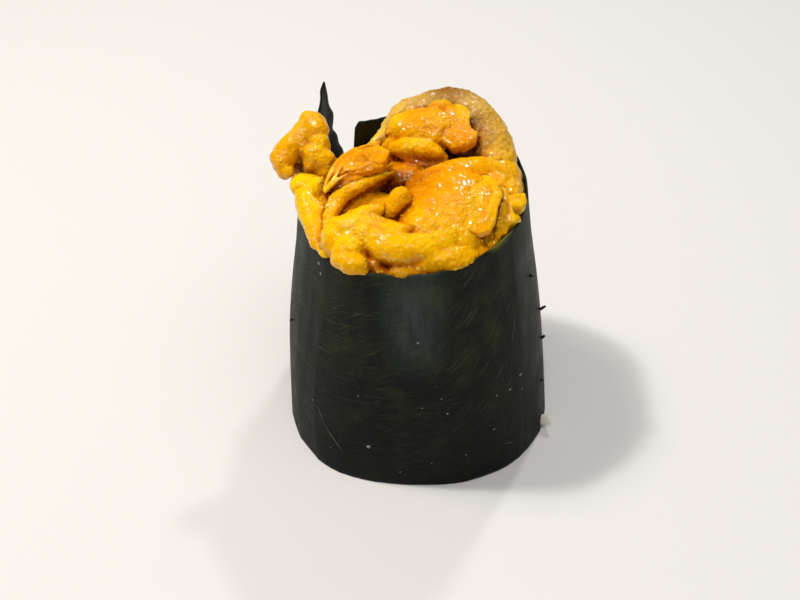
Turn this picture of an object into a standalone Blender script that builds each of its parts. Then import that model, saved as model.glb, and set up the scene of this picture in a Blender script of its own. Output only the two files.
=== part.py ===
"""Sea urchin gunkan sushi: a strip of nori wound round a block of rice, heaped with lobes of sea urchin.

Lengths are written in millimetres and scaled by MM, because Blender works in metres. +Z is up and +Y is
the back. The origin is the middle of the flat underside. Each piece is its own object, with a gap of about
CLEARANCE to its neighbours, so that no two solids overlap.
"""

import math

import bpy
from mathutils import Vector, noise

MM = 0.001

# Driving dimensions, in millimetres.
STRIP_HEIGHT = 35.0  # one sixth of a 210 mm sheet of nori
NORI_THICKNESS = 0.35
CLEARANCE = 0.3

BASE_HALF_WIDTH, BASE_HALF_DEPTH = 19.3, 20.4
BASE_SQUARENESS = 2.4  # exponent of the superellipse: 2 is an ellipse
RIM_HALF_WIDTH, RIM_HALF_DEPTH = 15.7, 17.85
RIM_CENTRE_X, RIM_CENTRE_Y = -1.1, 2.25
RIM_SLOPE_X, RIM_SLOPE_Y = 0.08, 0.066  # the rim climbs towards the right and the back
WAIST_BULGE = 0.6  # the rice pushes the wall out

INNER_END_DEG = 121.0  # where the strip starts, at the back left
PEEL_DEG = -195.0  # where the outer end leaves the wrap
OUTER_END_TOP_DEG, OUTER_END_BASE_DEG = -240.0, -265.0
FLAP_DIRECTION = Vector((0.18, 0.984))  # the way the peeled corner points, seen from above
FLAP_RISE_TOP, FLAP_RISE_BASE = 7.0, 3.0
FOOT_LIFT, BACK_LIFT = 0.15, 0.9  # the strip's lower edge stands off the table, most at the back
INNER_END_RISE = 1.0  # the strip is wound slightly askew, so that its first corner stands up
INNER_RISE_SPAN_DEG = 22.0

WALL_INSET = -(NORI_THICKNESS / 2.0 + CLEARANCE + 0.1)  # the filling, measured from the middle of the nori
RICE_HEIGHT = 21.5
RICE_LUMP = 0.7
RICE_FOOT_SHARE = 0.95  # width of the flat underside as a share of the block's
RICE_RINGS, RICE_SIDES = 8, 40

ROOM_TOP, ROOM_OVERHANG = 60.0, 9.0  # the space for the topping, over the wrap and past its sides
RIM_OVERHANG = 1.6  # how far a lobe may hang down outside the rim
ROOM_RINGS, ROOM_SIDES = 4, 48

WRAP_COLUMNS, FLAP_COLUMNS, WRAP_ROWS = 64, 12, 6
LOBE_VOXEL = 0.9
LOBE_DETAIL, FRONT_LOBE_DETAIL = 0.28, 0.12  # share of the remeshed faces that Decimate keeps


# ---------------------------------------------------------------- scene and materials
def clear_scene():
    for obj in list(bpy.data.objects):
        bpy.data.objects.remove(obj)


def collection(name):
    made = bpy.data.collections.new(name)
    bpy.context.scene.collection.children.link(made)
    return made


def material(name, colour, roughness):
    made = bpy.data.materials.new(name)
    made.use_nodes = True
    shader = made.node_tree.nodes["Principled BSDF"]
    shader.inputs["Base Color"].default_value = (*colour, 1.0)
    shader.inputs["Roughness"].default_value = roughness
    shader.inputs["Metallic"].default_value = 0.0
    return made


def select_only(objects):
    for obj in bpy.context.view_layer.objects:
        obj.select_set(obj in objects)
    bpy.context.view_layer.objects.active = objects[0]


def put_in(group, obj):
    for owner in list(obj.users_collection):
        owner.objects.unlink(obj)
    group.objects.link(obj)


def finish_piece(obj, name, finish, group):
    obj.name = name
    obj.data.name = name
    obj.data.materials.clear()
    obj.data.materials.append(finish)
    obj.data.shade_smooth()
    put_in(group, obj)
    return obj


# ---------------------------------------------------------------- the shape of the wrap
def signed_power(value, power):
    return math.copysign(abs(value) ** power, value)


def base_outline(angle, outset):
    power = 2.0 / BASE_SQUARENESS
    return Vector((
        (BASE_HALF_WIDTH + outset) * signed_power(math.cos(angle), power),
        (BASE_HALF_DEPTH + outset) * signed_power(math.sin(angle), power),
    ))


def rim_outline(angle, outset):
    return Vector((
        RIM_CENTRE_X + (RIM_HALF_WIDTH + outset) * math.cos(angle),
        RIM_CENTRE_Y + (RIM_HALF_DEPTH + outset) * math.sin(angle),
    ))


def rim_height(point):
    return STRIP_HEIGHT + RIM_SLOPE_X * (point.x - RIM_CENTRE_X) + RIM_SLOPE_Y * (point.y - RIM_CENTRE_Y)


def foot_height(angle):
    """The lower edge is close to the table at the front and sides, and a little off it at the back."""
    return FOOT_LIFT + BACK_LIFT * max(0.0, math.sin(angle)) ** 3


def wall_point(angle, share, outset=0.0):
    """A point of the wrap, in mm: share is 0 at the lower edge and 1 at the rim."""
    low, high = base_outline(angle, outset), rim_outline(angle, outset)
    flat = low.lerp(high, share)
    bulge = WAIST_BULGE * math.sin(math.pi * min(1.0, 1.25 * share))
    flat += bulge * Vector((math.cos(angle), math.sin(angle)))
    foot = foot_height(angle)
    return Vector((flat.x, flat.y, foot + share * (rim_height(high) - foot)))


def wall_slice(angle, height, outset=0.0):
    """The wrap's point at that angle whose height is the given one."""
    top = wall_point(angle, 1.0).z
    foot = foot_height(angle)
    return wall_point(angle, (height - foot) / (top - foot), outset)


# ---------------------------------------------------------------- nori
def flap_point(along, share):
    """The outer end of the strip: it follows the wrap at its foot, and peels straight back at its top."""
    peel = math.radians(PEEL_DEG)
    end = math.radians(OUTER_END_BASE_DEG + share * (OUTER_END_TOP_DEG - OUTER_END_BASE_DEG))
    over = (NORI_THICKNESS + CLEARANCE) * min(1.0, 3.0 * along)
    turns = [peel + (end - peel) * along * step / FLAP_COLUMNS for step in range(FLAP_COLUMNS + 1)]
    walk = [wall_point(turn, share, over) for turn in turns]
    length = sum((b.xy - a.xy).length for a, b in zip(walk, walk[1:]))
    straight = wall_point(peel, share).xy + FLAP_DIRECTION.normalized() * length
    flat = walk[-1].xy.lerp(straight, share**1.2)
    rise = (FLAP_RISE_BASE + share * (FLAP_RISE_TOP - FLAP_RISE_BASE)) * along**1.3
    foot = foot_height(peel + (end - peel) * along)
    level = foot + share * (wall_point(peel, 1.0).z - foot)
    return Vector((flat.x, flat.y, level + rise))


def strip_point(column, row):
    share = row / WRAP_ROWS
    if column <= WRAP_COLUMNS:
        wound = (INNER_END_DEG - PEEL_DEG) * column / WRAP_COLUMNS
        point = wall_point(math.radians(INNER_END_DEG - wound), share)
        point.z += INNER_END_RISE * share * max(0.0, 1.0 - wound / INNER_RISE_SPAN_DEG) ** 2
        return point
    return flap_point((column - WRAP_COLUMNS) / FLAP_COLUMNS, share)


def wrapped_strip(name, thickness):
    """A flat strip, as a grid, that is wound round the filling and then given its thickness."""
    columns = WRAP_COLUMNS + FLAP_COLUMNS
    bpy.ops.mesh.primitive_grid_add(x_subdivisions=columns, y_subdivisions=WRAP_ROWS, size=2.0)
    obj = bpy.context.object
    obj.name = name
    for vertex in obj.data.vertices:
        column = round((vertex.co.x + 1.0) / 2.0 * columns)
        row = round((vertex.co.y + 1.0) / 2.0 * WRAP_ROWS)
        vertex.co = strip_point(column, row) * MM
    solid = obj.modifiers.new("thickness", "SOLIDIFY")
    solid.thickness = thickness * MM
    solid.offset = 0.0
    solid.use_even_offset = True
    return obj


# ---------------------------------------------------------------- rice
def block(name, rings, sides, ring_point):
    """A closed block from a cylinder: its sides are cut into rings, and each corner is put by ring_point."""
    bpy.ops.mesh.primitive_cylinder_add(vertices=sides, radius=1, depth=2, end_fill_type="TRIFAN")
    obj = bpy.context.object
    obj.name = name
    bpy.ops.object.mode_set(mode="EDIT")
    for ring in range(1, rings):
        bpy.ops.mesh.select_all(action="SELECT")
        bpy.ops.mesh.bisect(plane_co=(0, 0, 2.0 * ring / rings - 1.0), plane_no=(0, 0, 1))
    bpy.ops.object.mode_set(mode="OBJECT")
    for vertex in obj.data.vertices:
        level = (vertex.co.z + 1.0) / 2.0
        centre = vertex.co.xy.length < 0.01
        vertex.co = ring_point(math.atan2(vertex.co.y, vertex.co.x), level, centre) * MM
    return obj


def rice_point(angle, level, centre):
    """The packed rice fills the wrap to RICE_HEIGHT. Its foot is drawn in and its sides are lumpy."""
    height = level * RICE_HEIGHT
    if centre:
        return Vector((0.0, 0.0, height))
    wall = wall_slice(angle, max(height, foot_height(angle)), WALL_INSET)
    lump = noise.noise(Vector((3.0 * math.cos(angle), 3.0 * math.sin(angle), 5.0 * level)))
    shrink = RICE_FOOT_SHARE if level == 0.0 else 1.0 - RICE_LUMP * abs(lump) / BASE_HALF_WIDTH
    return Vector((wall.x * shrink, wall.y * shrink, height))


def room_point(angle, level, centre):
    """The space that the topping may fill: the inside of the wrap, and a wide drum from its rim up."""
    floor = RICE_HEIGHT + CLEARANCE
    if centre:
        return Vector((0.0, 0.0, floor + level * (ROOM_TOP - floor)))
    ring = round(level * ROOM_RINGS)
    sill = wall_point(angle, 1.0).z - RIM_OVERHANG
    if ring < 2:
        return wall_slice(angle, floor + (sill - floor) * ring / 2.0, WALL_INSET)
    if ring == 2:
        return wall_slice(angle, sill, WALL_INSET)
    wide = wall_point(angle, 1.0, ROOM_OVERHANG)
    wide.z = sill + CLEARANCE / 10.0 if ring == 3 else ROOM_TOP
    return wide


# ---------------------------------------------------------------- lobes of sea urchin
def ball(centre, radii, turn_deg=(0.0, 0.0, 0.0)):
    """A soft lump: a ball with three radii, turned."""
    bpy.ops.mesh.primitive_uv_sphere_add(
        segments=20,
        ring_count=12,
        radius=MM,
        location=Vector(centre) * MM,
        rotation=[math.radians(angle) for angle in turn_deg],
        scale=radii,
    )
    return bpy.context.object


def rope(points, wide=1.0, thick=1.0):
    """A tongue: a curve through (x, y, z, radius) points, swept with an oval, with a ball at each end."""
    bpy.ops.curve.primitive_bezier_circle_add(radius=MM)
    oval = bpy.context.object
    oval.scale = (wide, thick, 1.0)
    bpy.ops.object.transform_apply(location=False, rotation=False, scale=True)
    bpy.ops.curve.primitive_bezier_curve_add()
    path = bpy.context.object
    path.data.dimensions = "3D"
    path.data.twist_mode = "Z_UP"
    path.data.resolution_u = 6
    path.data.bevel_mode = "OBJECT"
    path.data.bevel_object = oval
    path.data.use_fill_caps = True
    spline = path.data.splines[0]
    spline.bezier_points.add(len(points) - 2)
    for knot, (x, y, z, radius) in zip(spline.bezier_points, points):
        knot.co = Vector((x, y, z)) * MM
        knot.handle_left_type = knot.handle_right_type = "AUTO"
        knot.radius = radius
    select_only([path])
    bpy.ops.object.convert(target="MESH")
    swept = bpy.context.object
    bpy.data.objects.remove(oval)
    ends = [ball(end[:3], [end[3] * min(wide, thick)] * 3) for end in (points[0], points[-1])]
    return join([swept, *ends])


def join(pieces):
    select_only(pieces)
    if len(pieces) > 1:
        bpy.ops.object.join()
    joined = bpy.context.object
    bpy.ops.object.transform_apply(location=True, rotation=True, scale=True)
    return joined


def apply_modifiers(obj):
    graph = bpy.context.evaluated_depsgraph_get()
    obj.data = bpy.data.meshes.new_from_object(obj.evaluated_get(graph))
    obj.modifiers.clear()


def lobe(name, pieces, detail):
    """One lobe: its lumps run together into one closed skin, smoothed, and thinned out to few faces."""
    obj = join(pieces)
    obj.name = name
    remesh = obj.modifiers.new("skin", "REMESH")
    remesh.mode = "VOXEL"
    remesh.voxel_size = LOBE_VOXEL * MM
    soften = obj.modifiers.new("soften", "SMOOTH")
    soften.iterations = 3
    thin = obj.modifiers.new("thin", "DECIMATE")
    thin.ratio = detail
    apply_modifiers(obj)
    return obj


def front_lobe():
    """The largest lobe fills the mouth of the wrap, folds over at the front and climbs to a crest."""
    bed_centre = Vector((-0.8, 1.8, 26.0)) * MM
    bpy.ops.mesh.primitive_cylinder_add(vertices=32, radius=MM, depth=11.5 * MM, location=bed_centre)
    bed = bpy.context.object
    bed.scale = (16.5, 18.5, 1.0)
    rear = ball((1.0, 11.5, 30.5), (11.0, 7.0, 6.0))
    left = ball((-9.6, -7.6, 32.8), (4.8, 5.0, 5.0))
    chin = ball((-8.4, -11.2, 34.4), (4.3, 3.3, 2.4))
    roll = rope([(-6.2, -10.4, 33.4, 3.0), (-2.7, -11.0, 33.2, 3.2), (1.2, -10.5, 33.4, 3.3),
                 (4.4, -8.6, 33.9, 3.5), (6.6, -5.0, 34.6, 3.6)])
    slope = ball((2.6, -4.8, 33.8), (7.2, 6.4, 4.6), (0, -8, 0))
    crest = rope([(-1.0, 1.0, 35.6, 2.4), (2.2, 0.6, 36.2, 3.0), (5.4, 1.2, 36.6, 3.3),
                  (8.8, 2.6, 36.2, 3.2), (11.4, 4.2, 35.4, 2.8)])
    lip = rope([(-4.6, -12.6, 31.6, 2.2), (-1, -13.4, 31.7, 2.2), (3, -13.1, 31.9, 2.2),
                (6.5, -11, 32.2, 2.2), (9, -8, 32.6, 2)])
    return [bed, rear, left, chin, roll, slope, crest, lip]


def curl_lobe():
    """A thin fold that curls round the left of the hollow and lines its floor."""
    fold = rope([(-12.2, -5.6, 34.8, 1.2), (-12.0, -3.4, 36.2, 1.2), (-10.4, -1.2, 36.8, 1.2),
                 (-7.4, 0.5, 37.2, 1.2), (-4.4, 1.4, 37.2, 1.0)])
    floor = rope([(-10.0, -4.4, 34.6, 1.6), (-7.4, -2.4, 34.6, 1.7), (-4.6, -1.6, 34.4, 1.7),
                  (-2.4, -2.0, 34.4, 1.4)], wide=1.4, thick=0.9)
    return [fold, floor]


def knob_lobe():
    """A small broken end of a lobe that stands up in the hollow."""
    stalk = ball((-3.8, -4.6, 36.2), (1.7, 1.5, 1.6))
    head = ball((-2.8, -4.8, 37.6), (1.9, 1.7, 1.8), (20, 10, 0))
    return [stalk, head]


def ribbed_lobe():
    """A flat oval lobe that leans on the left of the hollow."""
    return [rope([(-12.8, -2.4, 37.0, 0.9), (-11.2, -0.6, 37.8, 2.0), (-9.0, 1.2, 38.4, 2.7),
                  (-6.6, 2.8, 38.9, 2.7), (-4.6, 4.0, 39.2, 1.8)], wide=1.15, thick=0.75)]


def left_lobe():
    """A short lobe that hangs on the rim at the left."""
    head = ball((-14.6, 0.4, 35.6), (3.2, 2.8, 2.3), (0, 10, 0))
    tail = rope([(-14.6, -0.5, 35.3, 2.4), (-14.2, -3.2, 34.7, 2.2), (-13.4, -6.2, 34.1, 2),
                 (-12.6, -8.8, 33.6, 1.4)])
    return [head, tail]


def arched_lobe():
    """A lobe that rises from the mouth, bends over and hangs down outside the rim at the left."""
    foot = rope([(-11.4, 3.6, 36.0, 2.2), (-13.4, 4.6, 38.4, 2.6), (-13.8, 6.4, 40.4, 2.3)])
    arch = rope([(-13.8, 6.4, 40.4, 2.3), (-14.6, 8.2, 41.4, 2.2), (-16.6, 7.4, 40.0, 2.1),
                 (-18.2, 5.8, 38.2, 2.1), (-18.8, 4.4, 36.8, 1.7)])
    return [foot, arch]


def back_lobe():
    """A broad lobe over the back of the mouth, with a ragged right end and a small tongue in front."""
    body = ball((1.2, 8.8, 38.6), (6.4, 4.6, 3.6), (0, 0, 10))
    right = ball((5.0, 8.6, 39.6), (2.8, 2.6, 2.4))
    tip = ball((6.2, 11.0, 41.0), (2.0, 1.8, 1.6))
    top = ball((2.4, 12.2, 41.0), (3.8, 2.2, 1.9))
    left = ball((-3.0, 8.0, 39.0), (3.0, 3.0, 2.6))
    tongue = rope([(-3.4, 6.6, 38.8, 1.4), (-0.8, 5.2, 38.6, 2.0), (1.4, 4.4, 38.2, 1.8),
                   (2.8, 4.2, 37.6, 1.3)])
    apron = ball((-1.4, 4.2, 35.2), (4.6, 4.2, 3.0))
    return [body, right, tip, top, left, tongue, apron]


def tan_lobe():
    """The coarse tan lobe stands round the back of the others, with a thin left end that runs down."""
    return [rope([(-11.6, 3.4, 36.6, 1.5), (-9.0, 6.6, 37.4, 1.8), (-6.2, 9.6, 38.4, 2.1),
                  (-2.6, 12.0, 39.4, 2.5), (1.6, 13.4, 40.2, 2.8), (5.2, 13.4, 40.6, 3.1),
                  (8.0, 11.0, 39.7, 3.2), (10.0, 7.8, 38.2, 3.1), (11.1, 4.6, 36.8, 2.9),
                  (11.6, 1.4, 35.8, 2.4)])]


def right_lobe():
    """A flat lobe that lies down the right side of the front lobe."""
    return [rope([(8.6, -0.6, 37.2, 1.6), (8.4, -3.0, 37.0, 2.4), (8.0, -5.8, 36.2, 2.5),
                  (7.4, -8.4, 35.2, 2.0), (7.0, -9.8, 34.6, 1.3)], wide=1.1, thick=0.8)]


def rim_lobe():
    """A thin ragged lobe that lines the rim at the right."""
    edge = rope([(12.8, -0.6, 35.4, 1.8), (12.0, -3.4, 34.9, 1.8), (10.8, -6.0, 34.4, 1.7),
                 (9.2, -8.6, 34.0, 1.5)])
    fleck = ball((13.2, -1.4, 36.6), (1.0, 1.2, 1.3))
    return [edge, fleck]


# From the top of the heap down: a lobe is cut where one above it lies in it.
LOBES = (
    ("uni_arched", arched_lobe, "gold", LOBE_DETAIL),
    ("uni_back", back_lobe, "gold", LOBE_DETAIL),
    ("uni_ribbed", ribbed_lobe, "gold", LOBE_DETAIL),
    ("uni_knob", knob_lobe, "gold", 1.0),
    ("uni_right", right_lobe, "gold", LOBE_DETAIL),
    ("uni_left", left_lobe, "gold", LOBE_DETAIL),
    ("uni_curl", curl_lobe, "gold", LOBE_DETAIL),
    ("uni_tan", tan_lobe, "tan", LOBE_DETAIL),
    ("uni_rim", rim_lobe, "gold", LOBE_DETAIL),
    ("uni_front", front_lobe, "gold", FRONT_LOBE_DETAIL),
)


def swollen(obj, group):
    """A hidden copy of a lobe, CLEARANCE larger all round, that cuts its neighbours."""
    copy = obj.copy()
    copy.data = obj.data.copy()
    copy.name = obj.name + "_cutter"
    put_in(group, copy)
    grow = copy.modifiers.new("clearance", "DISPLACE")
    grow.direction = "NORMAL"
    grow.mid_level = 0.0
    grow.strength = CLEARANCE * MM
    hide_helper(copy)
    return copy


def hide_helper(obj):
    obj.hide_render = True
    obj.display_type = "WIRE"


def combine(obj, other, operation):
    modifier = obj.modifiers.new(other.name, "BOOLEAN")
    modifier.operation = operation
    modifier.object = other
    modifier.solver = "EXACT"


def near(a, b):
    """Whether the boxes of two objects meet."""
    corners = [[obj.matrix_world @ Vector(corner) for corner in obj.bound_box] for obj in (a, b)]
    low = [Vector(min(point[axis] for point in points) for axis in range(3)) for points in corners]
    high = [Vector(max(point[axis] for point in points) for axis in range(3)) for points in corners]
    return all(low[0][axis] < high[1][axis] and low[1][axis] < high[0][axis] for axis in range(3))


def main():
    clear_scene()
    sushi, helpers = collection("sea_urchin_gunkan_sushi"), collection("cutters")
    finishes = {
        "nori": material("nori", (0.014, 0.017, 0.010), 0.45),
        "rice": material("rice", (0.80, 0.78, 0.70), 0.4),
        "gold": material("uni_gold", (0.93, 0.46, 0.01), 0.3),
        "tan": material("uni_tan", (0.62, 0.36, 0.07), 0.4),
    }

    finish_piece(wrapped_strip("nori_wrap", NORI_THICKNESS), "nori_wrap", finishes["nori"], sushi)
    finish_piece(block("rice", RICE_RINGS, RICE_SIDES, rice_point), "rice", finishes["rice"], sushi)

    wall_cutter = wrapped_strip("nori_cutter", NORI_THICKNESS + 2.0 * CLEARANCE)
    room = block("room", ROOM_RINGS, ROOM_SIDES, room_point)
    for helper in (wall_cutter, room):
        put_in(helpers, helper)
        hide_helper(helper)

    above = []
    for name, pieces, finish, detail in LOBES:
        obj = finish_piece(lobe(name, pieces(), detail), name, finishes[finish], sushi)
        cutters = [cutter for cutter in above if near(obj, cutter)]
        above.append(swollen(obj, helpers))
        combine(obj, room, "INTERSECT")
        combine(obj, wall_cutter, "DIFFERENCE")
        for cutter in cutters:
            combine(obj, cutter, "DIFFERENCE")


main()
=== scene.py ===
"""Sea urchin gunkan sushi: the finish and the fine shape of every piece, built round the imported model.

Lengths are in millimetres and scaled by MM, except those inside materials and lights, which are in metres.
+Z is up, +Y is the back, and the origin is the middle of the flat underside.
"""

import math
import random

import bmesh
import bpy
import numpy as np
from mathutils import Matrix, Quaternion, Vector, bvhtree, kdtree, noise


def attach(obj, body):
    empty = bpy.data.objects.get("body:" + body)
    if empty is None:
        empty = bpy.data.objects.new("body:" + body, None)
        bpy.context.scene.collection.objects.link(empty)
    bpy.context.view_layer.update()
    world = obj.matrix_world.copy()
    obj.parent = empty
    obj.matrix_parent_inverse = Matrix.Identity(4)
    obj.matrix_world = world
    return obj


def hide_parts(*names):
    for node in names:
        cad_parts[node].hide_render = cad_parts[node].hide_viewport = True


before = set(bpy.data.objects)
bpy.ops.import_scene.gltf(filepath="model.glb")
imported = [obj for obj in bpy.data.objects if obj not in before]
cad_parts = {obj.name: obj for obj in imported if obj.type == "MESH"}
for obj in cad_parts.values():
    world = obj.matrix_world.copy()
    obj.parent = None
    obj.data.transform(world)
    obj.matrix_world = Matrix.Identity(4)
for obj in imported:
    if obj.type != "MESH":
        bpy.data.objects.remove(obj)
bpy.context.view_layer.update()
bpy.ops.object.select_all(action="DESELECT")

# ------------------------------------------------------------------ nori
# One strip cut from a sheet of pressed, roasted seaweed, wound once round the rice and held by its own damp
# surface. It is brittle black-green laver with olive fibres, soaked green where juice wets its upper edge,
# with a painted blue-grey sheen on the front below the rim. Its outer end has come loose at the back left and
# stands up as a pointed flap.
MM = 0.001
STRIP_HEIGHT, NORI_THICKNESS = 35.0, 0.3
PATTERN_LENGTH = 152.0  # the sheet's pattern is laid out over this length
BASE_HALF_WIDTH, BASE_HALF_DEPTH, BASE_SQUARENESS = 19.2, 20.4, 2.4
RIM_HALF_WIDTH, RIM_HALF_DEPTH = 15.7, 17.85
RIM_CENTRE_X, RIM_CENTRE_Y = -1.1, 2.25
RIM_SLOPE_X, RIM_SLOPE_Y = 0.08, 0.066
LOWEST_RIM = 30.0  # the rim is nowhere lower than this
WAIST_BULGE = 0.35
INNER_END_DEG, PEEL_DEG = 122.0, -195.0
FLAP_TOP_DEG, FLAP_FOOT_DEG = 45.0, 70.0
FLAP_DIRECTION = Vector((0.18, 0.984))
FLAP_RISE_TOP, FLAP_RISE_FOOT = 7.0, 3.0
FOOT_LIFT, BACK_LIFT = 0.15, 0.9
INNER_END_RISE, INNER_RISE_SPAN_DEG = 1.0, 22.0
WRAP_COLUMNS, FLAP_COLUMNS, WRAP_ROWS = 300, 54, 76


def signed_power(value, power):
    return math.copysign(abs(value) ** power, value)


def foot_height(angle):
    return FOOT_LIFT + BACK_LIFT * max(0.0, math.sin(angle)) ** 3


def bump_at(angle_deg, centre_deg, width_deg):
    """1 at the centre angle, falling to 0 within about twice the width."""
    away = (angle_deg - centre_deg + 180.0) % 360.0 - 180.0
    return math.exp(-((away / width_deg) ** 2))


def dent(angle, share):
    """How far the wall stands in or out, in mm: soft corners near the foot, waves and shallow creases."""
    deg = math.degrees(angle)
    corners = 0.3 * bump_at(deg, -79, 9) + 0.15 * bump_at(deg, -130, 16) - 0.15 * bump_at(deg, -102, 12)
    low = max(0.0, 1.0 - 2.6 * share)
    around = Vector((math.cos(angle), math.sin(angle), 0.0))
    waves = 0.4 * noise.noise(around * 1.9 + Vector((4.0, 1.0, share * 1.3)))
    waves += 0.10 * noise.noise(around * 5.0 + Vector((0.0, 7.0, share * 2.2)))
    crease = 0.05 * (1.0 - abs(noise.noise(around * 4.2 + Vector((9.0, 3.0, 1.6 * share)))) * 4.0)
    return corners * low + waves + max(0.0, crease) - 0.15


def wall_point(angle, share, outset=0.0):
    """A point of the wrap: share is 0 at the lower edge and 1 at the rim."""
    power = 2.0 / BASE_SQUARENESS
    low = Vector((
        (BASE_HALF_WIDTH + outset) * signed_power(math.cos(angle), power),
        (BASE_HALF_DEPTH + outset) * signed_power(math.sin(angle), power),
    ))
    high = Vector((
        RIM_CENTRE_X + (RIM_HALF_WIDTH + outset) * math.cos(angle),
        RIM_CENTRE_Y + (RIM_HALF_DEPTH + outset) * math.sin(angle),
    ))
    outward = Vector((math.cos(angle), math.sin(angle)))
    flat = low.lerp(high, share)
    flat += (WAIST_BULGE * math.sin(math.pi * min(1.0, 1.25 * share)) + dent(angle, share)) * outward
    top = STRIP_HEIGHT + RIM_SLOPE_X * (high.x - RIM_CENTRE_X) + RIM_SLOPE_Y * (high.y - RIM_CENTRE_Y)
    foot = foot_height(angle)
    return Vector((flat.x, flat.y, foot + share * (top - foot)))


def flap_point(along, share):
    """The loose outer end: it follows the wrap at its foot, and peels straight back at its top."""
    peel = math.radians(PEEL_DEG)
    sweep = -math.radians(FLAP_FOOT_DEG + share * (FLAP_TOP_DEG - FLAP_FOOT_DEG)) * along
    over = 2.2 * NORI_THICKNESS * min(1.0, 3.0 * along)
    turns = [peel + sweep * step / FLAP_COLUMNS for step in range(FLAP_COLUMNS + 1)]
    walk = [wall_point(turn, share, over).xy for turn in turns[::6]]
    length = sum((b - a).length for a, b in zip(walk, walk[1:]))
    straight = wall_point(peel, share).xy + FLAP_DIRECTION.normalized() * length
    flat = walk[-1].lerp(straight, share**1.2)
    along *= 1.0 + 0.035 * noise.noise(Vector((share * 14.0, 1.0, 6.0))) * along**4
    rise = (FLAP_RISE_FOOT + share * (FLAP_RISE_TOP - FLAP_RISE_FOOT)) * along**1.3
    foot = foot_height(peel + sweep)
    ripple = 0.45 * along * noise.noise(Vector((along * 6.0, share * 6.0, 3.0)))
    nibble = 0.5 * along**6 * noise.noise(Vector((share * 16.0, 4.0, 9.0)))
    level = foot + share * (wall_point(peel, 1.0).z - foot)
    return Vector((flat.x + ripple + nibble, flat.y + nibble, level + rise))


def ragged(column, share):
    """The cut edges aren't quite straight: how far a point moves up or down, in mm."""
    at = column * 0.11
    top = 0.22 * noise.noise(Vector((at * 0.45, 2.0, 0.0))) + 0.16 * noise.noise(Vector((at * 1.9, 5.0, 0.0)))
    low = 0.10 * noise.noise(Vector((at * 0.8, 8.0, 0.0)))
    return top * share**6 + low * (1.0 - share) ** 6


def strip_point(column, share):
    if column <= WRAP_COLUMNS:
        wound = (INNER_END_DEG - PEEL_DEG) * column / WRAP_COLUMNS
        point = wall_point(math.radians(INNER_END_DEG - wound), share)
        point.z += INNER_END_RISE * share * max(0.0, 1.0 - wound / INNER_RISE_SPAN_DEG) ** 2
        point.z -= max(0.0, 1.0 - 0.43 * column) * share**12  # the inner corner is broken off
    else:
        point = flap_point((column - WRAP_COLUMNS) / FLAP_COLUMNS, share)
    point.z += ragged(column, share)
    return point


def apply_modifiers(piece):
    bpy.context.view_layer.objects.active = piece
    for modifier in list(piece.modifiers):
        bpy.ops.object.modifier_apply(modifier=modifier.name)


def thicken(piece, thickness):
    """Gives a flat sheet its thickness, half on each side."""
    solid = piece.modifiers.new("thickness", "SOLIDIFY")
    solid.thickness = thickness * MM
    solid.offset = 0.0
    apply_modifiers(piece)


strip_columns = WRAP_COLUMNS + FLAP_COLUMNS
bpy.ops.mesh.primitive_grid_add(x_subdivisions=strip_columns, y_subdivisions=WRAP_ROWS, size=2.0)
nori = bpy.context.object
nori.name = nori.data.name = "nori_strip"
for vertex in nori.data.vertices:
    column = (vertex.co.x + 1.0) / 2.0 * strip_columns
    vertex.co = strip_point(column, (vertex.co.y + 1.0) / 2.0) * MM
thicken(nori, NORI_THICKNESS)


def add_node(tree, kind, inputs=None, **settings):
    """Adds a node. Each input is given a value, or another node's output to be linked to."""
    node = tree.nodes.new(kind)
    for name, value in settings.items():
        setattr(node, name, value)
    for name, value in (inputs or {}).items():
        if isinstance(value, bpy.types.NodeSocket):
            tree.links.new(value, node.inputs[name])
        else:
            node.inputs[name].default_value = value
    return node


def ramp(tree, factor, stops):
    """A colour ramp through (place, colour) stops; a plain number stands for a grey."""
    node = add_node(tree, "ShaderNodeValToRGB", {"Fac": factor})
    while len(node.color_ramp.elements) < len(stops):
        node.color_ramp.elements.new(0.5)
    for element, (place, colour) in zip(node.color_ramp.elements, stops):
        element.position = place
        element.color = (*colour, 1.0) if isinstance(colour, tuple) else (colour, colour, colour, 1.0)
    return node.outputs["Color"]


def mixed(tree, factor, first, second, blend="MIX"):
    node = add_node(tree, "ShaderNodeMix", data_type="RGBA", blend_type=blend)
    for socket, value in ((node.inputs[0], factor), (node.inputs[6], first), (node.inputs[7], second)):
        if isinstance(value, bpy.types.NodeSocket):
            tree.links.new(value, socket)
        elif isinstance(value, tuple):
            socket.default_value = (*value, 1.0)
        else:
            socket.default_value = value
    return node.outputs[2]


def noise_at(tree, place, scale, detail, distortion=0.0):
    """A noise pattern's height, from 0 to 1."""
    return add_node(tree, "ShaderNodeTexNoise", {
        "Vector": place, "Scale": scale, "Detail": detail, "Distortion": distortion}).outputs["Fac"]


def new_material(name, roughness, **sockets):
    """A material with these plain values on its shader's sockets."""
    made = bpy.data.materials.new(name)
    made.use_nodes = True
    shader = made.node_tree.nodes["Principled BSDF"]
    shader.inputs["Roughness"].default_value = roughness
    for socket, value in sockets.items():
        shader.inputs[socket.replace("_", " ")].default_value = value
    return made, made.node_tree, shader


def link_surface(tree, shader, colour, height, strength, distance):
    """Joins a colour and a bump to the shader."""
    relief = add_node(tree, "ShaderNodeBump", {"Height": height, "Strength": strength, "Distance": distance})
    tree.links.new(colour, shader.inputs["Base Color"])
    tree.links.new(relief.outputs["Normal"], shader.inputs["Normal"])


def patch_reach(tree, flat, offset, wide, tall):
    """How far a place on the sheet is from a patch: 0 at the patch's middle and 1 at its edge."""
    near = add_node(tree, "ShaderNodeMapping", {
        "Vector": flat, "Location": offset, "Scale": (1 / wide, 1 / tall, 1.0)}).outputs["Vector"]
    return add_node(tree, "ShaderNodeVectorMath", {0: near}, operation="LENGTH").outputs["Value"]


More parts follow.
